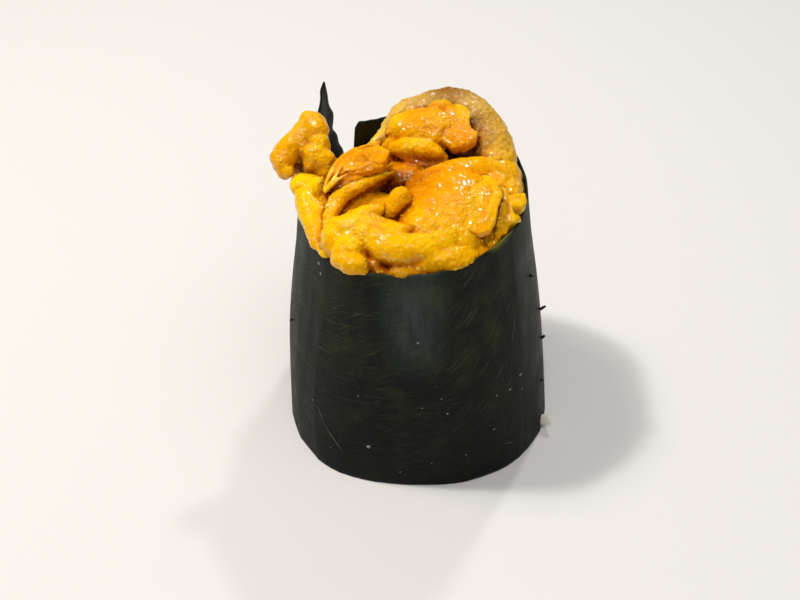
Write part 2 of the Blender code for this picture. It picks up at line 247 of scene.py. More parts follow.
def nori_material():
    made, tree, shader = new_material("pressed_laver", 0.5, Specular_IOR_Level=0.09)
    sheet = add_node(tree, "ShaderNodeUVMap", uv_map="UVMap").outputs["UV"]
    flat = add_node(tree, "ShaderNodeMapping", {
        "Vector": sheet, "Scale": (PATTERN_LENGTH, STRIP_HEIGHT, 1.0)}).outputs["Vector"]
    patches = noise_at(tree, flat, 0.2, 6.0)
    colour = ramp(tree, patches, (
        (0.32, (0.0060, 0.0068, 0.0072)), (0.52, (0.0105, 0.0125, 0.0090)), (0.72, (0.024, 0.028, 0.012))))
    # The colour is lighter and greener towards the top, and darker and bluer towards the foot.
    along, rise = add_node(tree, "ShaderNodeSeparateXYZ", {"Vector": sheet}).outputs[:2]
    colour = mixed(tree, 1.0, colour, ramp(tree, rise, (
        (0.0, (0.55, 0.55, 0.62)), (0.45, (0.78, 0.78, 0.82)), (1.0, (1.35, 1.42, 1.10)))), "MULTIPLY")
    # The loose end is darker.
    colour = mixed(tree, 1.0, colour, ramp(tree, along, ((0.84, 1.0), (0.88, 0.55))), "MULTIPLY")
    height = patches
    # Fibres lie every way in the sheet, so strands are drawn at several angles over each other. Each set has
    # its angle, how many strands go to a millimetre, their length to width, the level they start at, and its
    # share on the right and on the left.
    fibrous = ramp(tree, noise_at(tree, flat, 0.28, 2.0), ((0.40, 0.10), (0.64, 1.0)))
    fibrous = mixed(tree, 1.0, fibrous, ramp(tree, rise, ((0.1, 0.18), (0.75, 1.0))), "MULTIPLY")
    for turn, across, stretch, least, right, left in (
            (-6, 2.2, 16, 0.57, 0.2, 1.0), (-24, 2.4, 14, 0.60, 0.2, 1.0), (-44, 2.4, 14, 0.59, 1.0, 0.2),
            (-30, 2.0, 16, 0.59, 1.0, 0.3), (86, 2.2, 12, 0.66, 0.6, 0.6), (50, 3.0, 9, 0.67, 0.6, 0.6)):
        laid = add_node(tree, "ShaderNodeMapping", {
            "Vector": flat, "Rotation": (0.0, 0.0, math.radians(turn)),
            "Scale": (stretch / across, 1 / across, 1)}, vector_type="TEXTURE")
        strands = noise_at(tree, laid.outputs["Vector"], 1.0, 2.0, 0.8)
        share = ramp(tree, strands, ((least, 0.0), (least + 0.09, 1.0)))
        share = mixed(tree, 1.0, share, fibrous, "MULTIPLY")
        share = mixed(tree, 1.0, share, ramp(tree, along, ((0.48, right), (0.62, left))), "MULTIPLY")
        colour = mixed(tree, share, colour, (0.038, 0.046, 0.021))
        height = mixed(tree, 0.3, height, strands)
    # A painted blue-grey sheen: a reflection painted on the front below the rim, broken into streaks.
    painted_sheen = ramp(tree, patch_reach(tree, flat, (-12.3, -2.45, 0.0), 7.0, 12.0), ((0.0, 0.8), (1.0, 0.0)))
    painted_sheen_streaks = add_node(tree, "ShaderNodeMapping", {"Vector": flat, "Scale": (1.1, 0.22, 1.0)}).outputs["Vector"]
    painted_sheen_streaks = ramp(tree, noise_at(tree, painted_sheen_streaks, 1.0, 4.0), ((0.25, 0.35), (0.75, 1.0)))
    painted_sheen = mixed(tree, 1.0, painted_sheen, painted_sheen_streaks, "MULTIPLY")
    colour = mixed(tree, painted_sheen, colour, (0.064, 0.083, 0.083))
    # At the right of the front, juice has soaked the edge and shows it green and clear.
    soaked = ramp(tree, patch_reach(tree, flat, (-16.8, -35.2, 0.0), 4.0, 1.0), ((0.3, 0.8), (1.0, 0.0)))
    colour = mixed(tree, soaked, colour, (0.12, 0.14, 0.02))
    height = mixed(tree, 0.5, height, noise_at(tree, flat, 2.6, 5.0))
    link_surface(tree, shader, colour, height, 0.6, 0.0005)
    tree.links.new(ramp(tree, patches, ((0.3, 0.38), (0.7, 0.58))), shader.inputs["Roughness"])
    return made


def finish(piece, material, node=None):
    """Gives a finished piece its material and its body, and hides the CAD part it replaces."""
    bpy.ops.object.select_all(action="DESELECT")
    piece.select_set(True)
    bpy.context.view_layer.objects.active = piece
    bpy.ops.object.shade_smooth()
    piece.select_set(False)
    piece.data.materials.clear()
    piece.data.materials.append(material)
    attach(piece, "root")
    if node:
        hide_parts(node)


pressed_laver = nori_material()
finish(nori, pressed_laver, "nori_wrap")

# ------------------------------------------------------------------ rice
# A hand-pressed block of cooked short-grain rice. The grains are moist, slightly clear and stuck together;
# they show underneath and round the foot of the wrap, and one has pushed out at the right.
GRAIN_LENGTH, GRAIN_WIDTH = 5.4, 2.7
RICE_HEIGHT, RICE_INSET = 21.3, 1.5
CORE_LIFT = 0.9  # the core stops this far from both ends of the block, behind the grains
BOTTOM_SPACING_X, BOTTOM_SPACING_Y, BOTTOM_INSET, BOTTOM_LEVEL = 3.5, 2.5, 1.8, 1.33
SIDE_TIERS, SIDE_SPACING, SIDE_START, SIDE_INSET, GRAINS_ROUND = 8, 2.5, 1.7, 1.95, 34
random.seed(11)

bpy.ops.mesh.primitive_cylinder_add(vertices=64, radius=1.0, depth=2.0)
rice = bpy.context.object
rice.name = rice.data.name = "rice_core"
bpy.ops.object.mode_set(mode="EDIT")
bpy.ops.mesh.select_all(action="DESELECT")
rice_mesh = bmesh.from_edit_mesh(rice.data)
for face in rice_mesh.faces:
    face.select = abs(face.normal.z) > 0.9
for ring in range(5):
    bpy.ops.mesh.inset(thickness=0.16, use_individual=True)
bpy.ops.object.mode_set(mode="OBJECT")
for vertex in rice.data.vertices:
    reach = vertex.co.xy.length
    share = (vertex.co.z + 1.0) / 2.0
    height = CORE_LIFT + share * (RICE_HEIGHT - 2.0 * CORE_LIFT)
    turn = math.atan2(vertex.co.y, vertex.co.x)
    wall = wall_point(turn, height / STRIP_HEIGHT, -NORI_THICKNESS - RICE_INSET)
    vertex.co = Vector((wall.x * reach, wall.y * reach, height)) * MM
rice.select_set(False)


def grain_pattern():
    """One plump grain: a ball drawn out, a little bent, and narrower at its germ end."""
    bpy.ops.mesh.primitive_uv_sphere_add(segments=10, ring_count=8, radius=1.0)
    grain = bpy.context.object
    for vertex in grain.data.vertices:
        along = vertex.co.z
        plump = 1.0 - 0.12 * along - 0.10 * along**2
        bend = 0.10 * (1.0 - along**2)
        vertex.co = Vector((
            (vertex.co.x * plump + bend) * GRAIN_WIDTH / 2.0,
            vertex.co.y * plump * GRAIN_WIDTH * 0.45,
            along * GRAIN_LENGTH / 2.0,
        )) * MM
    grain.select_set(False)
    return grain


def lay_grain(pattern, place, along, roll, size=1.0):
    """A copy of the grain with its own mesh, lying along a direction and rolled about it."""
    copy = pattern.copy()
    copy.data = pattern.data.copy()
    bpy.context.collection.objects.link(copy)
    turn = Quaternion(along, roll) @ Vector(along).to_track_quat("Z", "Y")
    copy.rotation_mode = "QUATERNION"
    copy.rotation_quaternion = turn
    copy.location = Vector(place) * MM
    copy.scale = (size, size, size * random.uniform(0.9, 1.08))
    return copy


def join_pieces(name, pieces):
    """Joins the pieces into one mesh whose object sits at the origin, unturned and unscaled."""
    bpy.ops.object.select_all(action="DESELECT")
    for piece in pieces:
        piece.select_set(True)
    bpy.context.view_layer.objects.active = pieces[0]
    if len(pieces) > 1:
        bpy.ops.object.join()
    bpy.ops.object.transform_apply(location=True, rotation=True, scale=True)
    joined = bpy.context.object
    joined.name = joined.data.name = name
    return joined


def keep_inside(piece, gap=0.1):
    """Below the rim, the filling is pressed against the inner face of the wrap and never goes through it."""
    for vertex in piece.data.vertices:
        x, y, z = vertex.co / MM
        angle = math.atan2(y, x)
        if z > LOWEST_RIM and z > wall_point(angle, 1.0).z - 0.1:
            continue
        wall = wall_point(angle, min(1.0, z / STRIP_HEIGHT), -NORI_THICKNESS / 2 - gap).xy
        if math.hypot(x, y) > wall.length:
            vertex.co = Vector((wall.x, wall.y, z)) * MM


pattern = grain_pattern()
grains = []
# Across the bottom the grains lie flat, and the outermost follow the wall.
for row in range(-8, 9):
    for step in range(-9, 10):
        x = step * BOTTOM_SPACING_X + random.uniform(-0.9, 0.9)
        y = row * BOTTOM_SPACING_Y + random.uniform(-0.5, 0.5)
        edge = wall_point(math.atan2(y, x), 0.0, -BOTTOM_INSET).xy.length
        if math.hypot(x, y) > edge:
            continue
        heading = random.uniform(0.0, math.pi)
        if math.hypot(x, y) > edge - 2.0:
            heading = math.atan2(y, x) + math.pi / 2 + random.uniform(-0.4, 0.4)
        flat_along = (math.cos(heading), math.sin(heading), random.uniform(-0.08, 0.08))
        grains.append(lay_grain(pattern, (x, y, BOTTOM_LEVEL), flat_along, random.uniform(-0.3, 0.3)))
# Round the sides they are pressed against the wrap, and slope either way. The lowest lie nearly level.
for tier in range(SIDE_TIERS):
    height = SIDE_START + SIDE_SPACING * tier
    for step in range(GRAINS_ROUND):
        angle = math.tau * (step + 0.5 * (tier % 2) + random.uniform(-0.2, 0.2)) / GRAINS_ROUND
        place = wall_point(angle, height / STRIP_HEIGHT, -SIDE_INSET)
        place.z = height + random.uniform(-0.3, 0.5)
        slope = random.uniform(-0.9, 0.9)
        level = math.cos(slope)
        around = Vector((-math.sin(angle) * level, math.cos(angle) * level, math.sin(slope)))
        if tier == 0:
            around.z *= 0.15
        grains.append(lay_grain(pattern, place, around.normalized(), random.uniform(-0.4, 0.4)))
packed_grains = join_pieces("rice_grains", grains)
keep_inside(packed_grains, 0.05)
# One grain has worked out from under the wrap, at the right, so it is added after the rest are held inside.
stray = lay_grain(pattern, (18.5, -8.9, 1.3), Vector((0.45, -0.25, 0.5)).normalized(), 0.4, 0.62)
bpy.data.objects.remove(pattern)
rice_grains = join_pieces("rice_grains", [packed_grains, stray])


def rice_material():
    made, tree, shader = new_material(
        "cooked_rice", 0.32, Subsurface_Weight=0.35, Subsurface_Scale=0.002, Coat_Weight=0.3,
        Coat_Roughness=0.15)
    shader.inputs["Subsurface Radius"].default_value = (1.0, 0.8, 0.6)
    place = add_node(tree, "ShaderNodeTexCoord").outputs["Object"]
    cloudy = noise_at(tree, place, 700.0, 3.0)
    colour = ramp(tree, cloudy, ((0.35, (0.70, 0.67, 0.56)), (0.7, (0.86, 0.84, 0.76))))
    link_surface(tree, shader, colour, cloudy, 0.3, 0.0002)
    return made


cooked_rice = rice_material()
for piece in (rice, rice_grains):
    finish(piece, cooked_rice, "rice")

# ------------------------------------------------------------------ the large front lobe of roe
# Sea urchin roe is a soft, wet, granular lobe, gold to orange, laid by hand on the rice. The largest one
# fills the mouth of the wrap. It swells over the rim at the front, dips in the middle and climbs to a crest.
def lump(centre, radii, turn_deg=(0.0, 0.0, 0.0)):
    bpy.ops.mesh.primitive_uv_sphere_add(
        segments=32, ring_count=16, radius=MM, location=Vector(centre) * MM,
        rotation=[math.radians(angle) for angle in turn_deg], scale=radii)
    return bpy.context.object


def tongue(knots, wide=1.0, thick=1.0):
    """A fold of roe: an oval swept along a curve through (x, y, z, radius) knots, with round ends."""
    bpy.ops.curve.primitive_bezier_circle_add(radius=MM)
    oval = bpy.context.object
    oval.scale = (wide, thick, 1.0)
    bpy.ops.object.transform_apply(location=False, rotation=False, scale=True)
    bpy.ops.curve.primitive_bezier_curve_add()
    path = bpy.context.object
    path.data.twist_mode = "Z_UP"
    path.data.resolution_u = 10
    path.data.bevel_mode = "OBJECT"
    path.data.bevel_object = oval
    path.data.use_fill_caps = True
    spline = path.data.splines[0]
    spline.bezier_points.add(len(knots) - 2)
    for point, (x, y, z, radius) in zip(spline.bezier_points, knots):
        point.co = Vector((x, y, z)) * MM
        point.handle_left_type = point.handle_right_type = "AUTO"
        point.radius = radius
    bpy.ops.object.select_all(action="DESELECT")
    path.select_set(True)
    bpy.ops.object.convert(target="MESH")
    swept = bpy.context.object
    bpy.data.objects.remove(oval)
    ends = [lump(end[:3], [end[3] * min(wide, thick)] * 3) for end in (knots[0], knots[-1])]
    return join_pieces("tongue", [swept, *ends])


def flap(outline, depth, inset, crown):
    """A flat lobe: the outline of its upper face, given a depth below it and a crown above it."""
    bpy.ops.mesh.primitive_circle_add(vertices=len(outline), radius=MM, fill_type="NGON")
    piece = bpy.context.object
    for vertex, point in zip(piece.data.vertices, outline):
        vertex.co = (Vector(point) - Vector((0.0, 0.0, depth))) * MM
    bpy.ops.object.mode_set(mode="EDIT")
    bpy.ops.mesh.select_all(action="SELECT")
    bpy.ops.mesh.extrude_region_move(TRANSFORM_OT_translate={"value": (0.0, 0.0, depth * MM)})
    bpy.ops.mesh.inset(thickness=inset * MM)
    bpy.ops.transform.translate(value=(0.0, 0.0, crown * MM))
    bpy.ops.mesh.select_all(action="SELECT")
    bpy.ops.mesh.normals_make_consistent(inside=False)
    bpy.ops.object.mode_set(mode="OBJECT")
    return piece


def places_of(piece):
    places = np.empty(len(piece.data.vertices) * 3)
    piece.data.vertices.foreach_get("co", places)
    return places.reshape(-1, 3) / MM


def soften(name, parts, closeness, rounds):
    """Runs the parts together into one closed skin, and rounds the creases between them."""
    piece = join_pieces(name, parts)
    skin = piece.modifiers.new("skin", "REMESH")
    skin.mode = "VOXEL"
    skin.voxel_size = closeness * MM
    smooth = piece.modifiers.new("smooth", "SMOOTH")
    smooth.iterations = rounds
    apply_modifiers(piece)
    return piece


def share_near(places, ground, spots):
    """A value for each place: the ground value, drawn towards each spot's value near its centre."""
    values = np.full(len(places), float(ground))
    for centre, radius, value in spots:
        reach = np.array(radius if isinstance(radius, tuple) else (radius,) * 3)
        near = np.exp(-(((places - np.array(centre)) / reach) ** 2).sum(axis=1))
        values = values * (1.0 - near) + value * near
    return values


SHARE_STEPS = 20  # a skin's coarseness is set in this many steps
HIDDEN_FACES_KEPT = 0.62


def roughen(piece, kind, size, strength, ground=1.0, spots=()):
    """Works the skin in and out by a pattern of that size, in mm; spots say where it is coarse or smooth."""
    group = piece.vertex_groups.new(name="coarse")
    shares = share_near(places_of(piece), ground, spots)
    steps = np.clip((shares * SHARE_STEPS).round().astype(int), 0, SHARE_STEPS)
    for step in range(1, SHARE_STEPS + 1):
        at = np.nonzero(steps == step)[0]
        if len(at):
            group.add(at.tolist(), step / SHARE_STEPS, "REPLACE")
    pattern = bpy.data.textures.new(kind.lower(), kind)
    pattern.noise_scale = size * MM
    push = piece.modifiers.new(kind.lower(), "DISPLACE")
    if kind == "CLOUDS":
        pattern.cloud_type = "COLOR"
        pattern.noise_depth = 2
        push.direction = "RGB_TO_XYZ"
    else:
        pattern.distance_metric = "DISTANCE_SQUARED"
    push.texture = pattern
    push.texture_coords = "LOCAL"
    push.strength = strength * MM
    push.mid_level = 0.5
    push.vertex_group = "coarse"
    apply_modifiers(piece)
    piece.vertex_groups.clear()


def thin_below(piece, height):
    """Inside the wrap the skin is hidden, so it is kept with fewer faces."""
    group = piece.vertex_groups.new(name="hidden")
    group.add(np.nonzero(places_of(piece)[:, 2] < height)[0].tolist(), 1.0, "REPLACE")
    fewer = piece.modifiers.new("fewer", "DECIMATE")
    fewer.ratio = HIDDEN_FACES_KEPT
    fewer.vertex_group = "hidden"
    apply_modifiers(piece)
    piece.vertex_groups.clear()


def shade(red, green, blue):
    """A colour as it looks, 0 to 255, turned into light."""
    return tuple((value / 255.0) ** 2.2 for value in (red, green, blue))


GOLD, ORANGE, YELLOW = shade(240, 169, 2), shade(238, 146, 1), shade(246, 190, 4)
AMBER, RUSSET, OLIVE = shade(190, 108, 1), shade(125, 46, 1), shade(230, 172, 8)


def paint_colour_and_shade(piece, ground, spots):
    """Colours the skin with its own tones, and with painted shade in folds and hollows: each spot is a
    centre, a radius, a colour and how strong it is at its middle.
    """
    places = places_of(piece)
    colours = np.tile(np.array(ground), (len(places), 1))
    for centre, radius, colour, strength in spots:
        weight = share_near(places, 0.0, [(centre, radius, strength)])[:, None]
        colours = colours * (1.0 - weight) + np.array(colour) * weight
    layer = piece.data.attributes.new("paint_colour_and_shade", "FLOAT_COLOR", "POINT")
    layer.data.foreach_set("color", np.hstack([colours, np.ones((len(places), 1))]).ravel())


def roe_material(name, grain_size, pale_tone_and_tip_glint, roughness=0.42):
    """Wet roe: a clear skin over packed eggs, so light runs under it and its grains sparkle."""
    made, tree, shader = new_material(
        name, roughness, Subsurface_Weight=0.35, Subsurface_Scale=0.0012, Coat_Weight=0.8,
        Coat_Roughness=0.09, Specular_IOR_Level=0.02)
    shader.inputs["Subsurface Radius"].default_value = (1.0, 0.3, 0.02)
    place = add_node(tree, "ShaderNodeTexCoord").outputs["Object"]
    colour_and_shade = add_node(tree, "ShaderNodeAttribute", attribute_name="paint_colour_and_shade").outputs["Color"]
    veins = ramp(tree, noise_at(tree, place, 420.0, 4.0), ((0.36, (0.93, 0.84, 0.7)), (0.62, 1.0)))
    colour = mixed(tree, 1.0, colour_and_shade, veins, "MULTIPLY")
    eggs = add_node(tree, "ShaderNodeTexVoronoi", {"Vector": place, "Scale": 1000.0 / grain_size})
    # Some eggs are riper and paler than the rest, and on those the paler colour is painted at the tip as a
    # painted highlight.
    ripeness = add_node(tree, "ShaderNodeSeparateColor", {"Color": eggs.outputs["Color"]}).outputs["Red"]
    painted_tip_glint = ramp(tree, eggs.outputs["Distance"], ((0.0, 1.0), (0.52, 0.0)))
    share = mixed(tree, 1.0, painted_tip_glint, ramp(tree, ripeness, ((0.40, 0.05), (0.95, 0.48))), "MULTIPLY")
    colour = mixed(tree, share, colour, pale_tone_and_tip_glint)
    # Shallow domes, so each catches the light in one small bright point.
    hill = add_node(tree, "ShaderNodeMath", {0: eggs.outputs["Distance"], 1: 2.0}, operation="POWER")
    domes = ramp(tree, hill.outputs[0], ((0.0, 1.0), (0.45, 0.0)))
    height = mixed(tree, 0.12, domes, noise_at(tree, place, 3000.0, 2.0))
    # In places the skin lies smooth over the eggs, and in others it has gone and they stand out.
    swells = noise_at(tree, place, 700.0, 1.0)
    smooth = ramp(tree, noise_at(tree, place, 190.0, 2.0), ((0.40, 0.85), (0.60, 0.35)))
    height = mixed(tree, smooth, height, swells)
    link_surface(tree, shader, colour, height, 0.75, 0.00022)
    # The film of juice over it is smoother than the eggs.
    film = mixed(tree, 0.4, height, swells)
    wet = add_node(tree, "ShaderNodeBump", {"Height": film, "Strength": 0.8, "Distance": 0.0002})
    tree.links.new(wet.outputs["Normal"], shader.inputs["Coat Normal"])
    # Where the folds are painted with shade, the juice lies out of the light, so its film shines less.
    tree.links.new(ramp(tree, colour_and_shade, ((0.05, 0.25), (0.34, 0.8))), shader.inputs["Coat Weight"])
    return made


gold_roe = roe_material("gold_roe", 0.5, (1.0, 0.78, 0.06))
FRONT_CLOSENESS, LOBE_CLOSENESS = 0.2, 0.18  # how closely the skin is modelled, in mm


def lobe(name, parts, closeness, rounds, patterns, ground, colour_and_shade_spots, inside=False, hidden_below=None,
         material=gold_roe):
    """One finished lobe: its parts run together, its roughness, its colours and its place in the model."""
    piece = soften("roe_" + name, parts, closeness, rounds)
    for pattern in patterns:
        roughen(piece, *pattern)
    if inside:
        keep_inside(piece)
    if hidden_below:
        thin_below(piece, hidden_below)
    paint_colour_and_shade(piece, ground, colour_and_shade_spots)
    finish(piece, material, "uni_" + name)
    return piece


# Its hidden foot fills the wrap from the rice up to the rim.
bpy.ops.mesh.primitive_cylinder_add(
    vertices=48, radius=MM, depth=11.4 * MM, location=Vector((-1.0, 1.8, 26.6)) * MM, scale=(14.9, 16.9, 1.0))
bed = bpy.context.object
front = lobe("front", [
    bed,
    lump((1.0, 11.0, 31.0), (11.0, 7.0, 4.6)),
    # The broad middle, with its front slope.
    lump((3.4, -3.6, 34.6), (7.6, 7.8, 4.5), (0, -3, 0)),
    lump((4.6, -1.4, 35.2), (6.6, 5.0, 4.4), (4, 0, 8)),
    lump((4.8, -7.6, 34.0), (5.2, 4.8, 3.8)),
    lump((0.6, -7.0, 34.4), (3.9, 4.0, 3.8)),
    lump((-4.4, -8.8, 34.6), (3.2, 2.6, 2.6)),
    # The crest along its back, falling away at both ends.
    tongue([(-0.4, 0.4, 36.6, 1.6), (1.6, 0.8, 37.2, 2.0), (4.2, 1.2, 37.5, 2.3), (7.4, 2.2, 37.4, 2.4),
            (9.6, 3.2, 37.0, 2.1)]),
    lump((11.4, 3.4, 36.4), (2.6, 3.0, 2.2), (0, 20, 0)),
    lump((11.8, 0.2, 35.8), (2.4, 4.0, 2.1), (0, 20, 0)),
    lump((9.6, 0.6, 36.4), (3.0, 2.6, 2.2)),
    # The lump at the left, its finger, and the chin under it.
    lump((-9.0, -8.2, 33.8), (4.2, 3.3, 4.0), (0, 0, 15)),
    lump((-10.6, -7.9, 35.6), (1.8, 1.6, 1.8)),
    lump((-7.4, -9.8, 35.8), (1.8, 1.6, 1.6)),
    lump((-6.6, -8.4, 34.8), (3.4, 2.8, 2.9)),
    lump((-3.6, -9.4, 35.0), (2.8, 2.2, 2.5)),
    lump((2.4, -8.8, 35.6), (3.4, 2.4, 2.4)),
    lump((1.4, -9.6, 35.9), (2.6, 1.7, 1.7)),
    tongue([(-8.4, -6.8, 36.2, 1.4), (-6.9, -6.3, 36.9, 1.1), (-5.3, -5.7, 37.2, 0.8)]),
    tongue([(-10.0, -12.2, 33.8, 1.4), (-9.2, -12.6, 33.9, 1.8), (-8.3, -13.0, 33.6, 1.7)]),
    lump((-9.1, -10.6, 33.9), (2.4, 2.7, 2.9)),
    lump((-7.6, -13.8, 33.2), (1.0, 1.0, 1.1)),
    lump((-11.2, -9.4, 34.2), (1.4, 1.5, 1.3)),
    lump((-6.0, -12.6, 33.2), (1.3, 1.0, 1.2)),
    # The roll along the front, and the lip under it that rests on the rim.
    tongue([(-6.4, -10.0, 35.2, 2.0), (-4.0, -11.4, 35.0, 2.1), (-1.4, -11.8, 34.9, 2.1),
            (1.6, -11.0, 34.9, 2.3), (4.4, -9.0, 35.0, 2.6)]),
    tongue([(-5.2, -13.4, 32.4, 1.2), (-2.0, -14.2, 32.2, 1.4), (0.6, -14.5, 32.2, 1.5),
            (3.4, -14.0, 32.4, 1.5), (6.2, -12.4, 32.8, 1.5), (8.6, -10.0, 33.2, 1.4)]),
    tongue([(-2.6, -13.0, 33.3, 1.3), (0.4, -13.4, 33.3, 1.5), (3.2, -13.0, 33.5, 1.6),
            (5.8, -11.6, 33.8, 1.5)]),
    lump((3.0, -11.6, 33.6), (5.0, 3.2, 2.6)),
    lump((-1.8, -14.4, 33.0), (2.6, 1.2, 1.3)),
    lump((6.6, -9.6, 33.4), (3.4, 3.0, 2.4)),
    # Folds running down between the middle and the lobe at the right.
    tongue([(5.0, -3.4, 36.6, 1.7), (5.2, -6.6, 36.2, 1.8), (4.8, -9.6, 35.0, 1.7), (4.2, -12.0, 33.4, 1.5)]),
    tongue([(7.2, -7.2, 34.8, 1.6), (7.2, -9.4, 34.0, 1.5), (6.6, -11.2, 33.2, 1.3)]),
], FRONT_CLOSENESS, 3, [
    ("CLOUDS", 5.0, 0.9),
    ("CLOUDS", 1.8, 0.6, 0.75, [((1.0, -1.0, 38.0), 4.0, 0.3), ((12.0, 1.6, 37.4), 3.4, 1.3)]),
    ("VORONOI", 0.55, -0.06, 0.8, [
        ((0.0, -1.0, 38.0), 5.0, 0.2), ((4.0, -7.0, 38.0), 3.4, 1.3), ((-9.0, -11.0, 35.0), 3.5, 1.2)]),
], GOLD, [
    ((-9.0, -9.0, 36.5), (4.6, 4.6, 3.4), YELLOW, 1.0),
    ((2.0, -11.4, 36.0), (4.4, 2.4, 2.2), YELLOW, 0.8),
    # Painted shade on the lip under the roll and in the dark hole beneath it.
    ((1.4, -15.2, 33.2), (8.0, 2.0, 1.9), shade(146, 94, 2), 1.0),
    ((-4.6, -13.6, 33.6), (1.6, 1.2, 0.9), RUSSET, 0.8),
    ((1.6, -1.0, 38.4), (6.4, 4.6, 4.0), ORANGE, 0.9),
    ((4.6, -12.0, 34.0), (2.6, 3.4, 2.6), OLIVE, 0.5),
    # The crest's left slope is deeper orange, partly its own colour and partly painted shade; the hollow is
    # painted red-brown, partly juice and partly painted shade.
    ((-2.0, 0.2, 37.4), (4.2, 4.4, 3.2), shade(180, 98, 1), 1.0),
    ((-6.0, 2.0, 34.0), (5.0, 5.0, 3.0), RUSSET, 0.95),
    # Painted shade under the right fold, under the finger, round the foot of the knob, in the dimple, on the
    # left side of the lump and under the roll.
    ((8.2, -10.4, 35.4), (1.6, 1.0, 1.4), RUSSET, 0.8),
    ((-4.8, -6.4, 36.0), (1.5, 0.8, 0.7), shade(170, 80, 2), 1.0),
    ((-3.0, -5.2, 36.4), (1.6, 0.9, 0.8), shade(196, 100, 2), 0.9),
    ((-1.0, -9.9, 36.8), (0.9, 0.6, 0.8), shade(180, 116, 2), 0.8),
    ((-12.2, -9.8, 33.6), (1.2, 1.6, 1.4), shade(190, 118, 4), 0.8),
    ((-6.0, -12.8, 33.4), (1.2, 0.8, 0.8), RUSSET, 0.9),
    ((12.0, 1.6, 37.4), (2.4, 4.0, 2.6), shade(222, 160, 26), 0.9),
], inside=True, hidden_below=30.0)

# ------------------------------------------------------------------ the folds round the hollow
# Left of the middle the roe curls round a wet, dark hollow. A thin fold rings it, a broken end of a lobe
# stands in it, and a flat lobe with pale strands leans over it.
curl = lobe("curl", [
    tongue([(-12.3, -5.8, 34.2, 1.3), (-11.9, -3.6, 35.0, 1.5), (-10.8, -1.6, 35.6, 1.6),
            (-9.2, 0.0, 36.0, 1.6), (-7.4, 1.0, 36.3, 1.5), (-5.4, 1.9, 36.7, 1.1), (-3.9, 2.3, 37.2, 0.6)],
           wide=0.45, thick=1.1),
    tongue([(-12.3, -7.4, 34.2, 0.6), (-12.0, -6.0, 35.0, 0.95), (-11.6, -4.1, 35.8, 1.15),
            (-10.9, -2.4, 36.4, 1.2), (-9.4, -0.8, 36.8, 1.15), (-7.8, 0.1, 37.0, 0.95),
            (-5.8, 1.0, 37.4, 0.65), (-3.5, 1.8, 37.9, 0.25)], thick=0.85),
    tongue([(-9.8, -2.4, 33.6, 1.5), (-8.2, -0.8, 33.9, 1.6), (-5.8, 0.0, 34.0, 1.5),
            (-4.0, -0.6, 34.0, 1.4)], wide=1.3, thick=0.9),
    tongue([(-10.4, -5.4, 34.2, 0.9), (-8.8, -4.0, 34.8, 1.0), (-6.8, -3.0, 34.9, 0.8)]),
], LOBE_CLOSENESS, 3, [("CLOUDS", 2.4, 0.4), ("CLOUDS", 0.9, 0.35), ("VORONOI", 0.6, -0.05)], GOLD, [
    # Painted shade on the side that faces the hollow.
    ((-6.4, 2.0, 35.8), (3.6, 2.0, 1.6), AMBER, 0.8),
    ((-4.0, 2.4, 35.8), 2.0, RUSSET, 0.9),
])

knob = lobe("knob", [
    tongue([(-4.2, -5.6, 36.0, 1.0), (-3.5, -5.0, 37.2, 1.15), (-2.7, -4.4, 38.2, 1.25)], wide=1.15),
    lump((-2.6, -4.2, 38.4), (1.2, 1.0, 1.1)),
    lump((-2.1, -4.4, 37.7), (1.0, 1.0, 1.2)),
    lump((-2.4, -4.1, 36.4), (1.5, 1.5, 1.6)),
], 0.12, 3, [("CLOUDS", 1.4, 0.3), ("VORONOI", 0.6, -0.03)], GOLD, [])

PALE_STRAND = shade(255, 214, 90)
ribbed = lobe("ribbed", [
    flap([(-12.8, -1.8, 37.3), (-11.8, 1.0, 38.3), (-10.5, 2.9, 39.3), (-8.5, 4.0, 40.0), (-5.7, 4.5, 40.4),
          (-4.2, 3.1, 40.1), (-4.8, 1.4, 39.3), (-5.0, 1.2, 39.1), (-7.5, 0.6, 38.7), (-9.8, 0.5, 38.4),
          (-11.4, -0.8, 37.9)], 1.2, 0.7, 0.35),
    flap([(-7.6, 3.8, 40.6), (-5.7, 4.6, 40.8), (-4.1, 3.2, 40.4), (-4.8, 1.5, 39.6), (-6.6, 1.7, 39.7),
          (-7.8, 2.6, 40.2)], 1.0, 0.4, 0.1),
    # Pale strands that gather at its tip.
    tongue([(-12.8, -2.0, 37.6, 0.24), (-11.4, -0.7, 38.6, 0.24), (-10.4, 1.2, 39.3, 0.12)]),
    tongue([(-12.7, -2.1, 37.5, 0.26), (-10.9, -0.9, 38.5, 0.26), (-8.8, 0.3, 39.0, 0.12)]),
    tongue([(-12.9, -1.6, 37.6, 0.20), (-12.1, 0.2, 38.4, 0.20), (-11.4, 1.4, 38.9, 0.10)]),
    # A thin wavy skirt along its upper edge.
    tongue([(-12.6, -0.6, 37.8, 0.3), (-11.6, 1.8, 38.7, 0.35), (-10.2, 3.4, 39.4, 0.35),
            (-8.2, 4.5, 39.9, 0.3), (-5.6, 5.2, 40.3, 0.3)]),
    lump((-9.6, 0.8, 37.0), (3.2, 1.6, 1.2), (0, -12, 25)),
    lump((-8.6, 2.6, 37.6), (3.4, 2.2, 1.6), (0, -12, 15)),
], 0.14, 2, [
    ("CLOUDS", 2.4, 0.4),
    ("CLOUDS", 0.9, 0.3, 0.2, [((-7.6, 2.2, 39.6), 2.6, 1.0)]),
    ("VORONOI", 1.1, 0.22, 0.0, [((-7.6, 2.2, 39.6), 2.2, 1.0)]),
], shade(238, 154, 2), [
    ((-12.4, -1.6, 37.8), 1.6, YELLOW, 0.9),
    ((-11.6, -0.5, 38.9), (1.6, 1.8, 0.4), PALE_STRAND, 1.0),
    ((-8.0, 2.4, 40.0), (2.0, 1.6, 1.0), AMBER, 0.35),
])

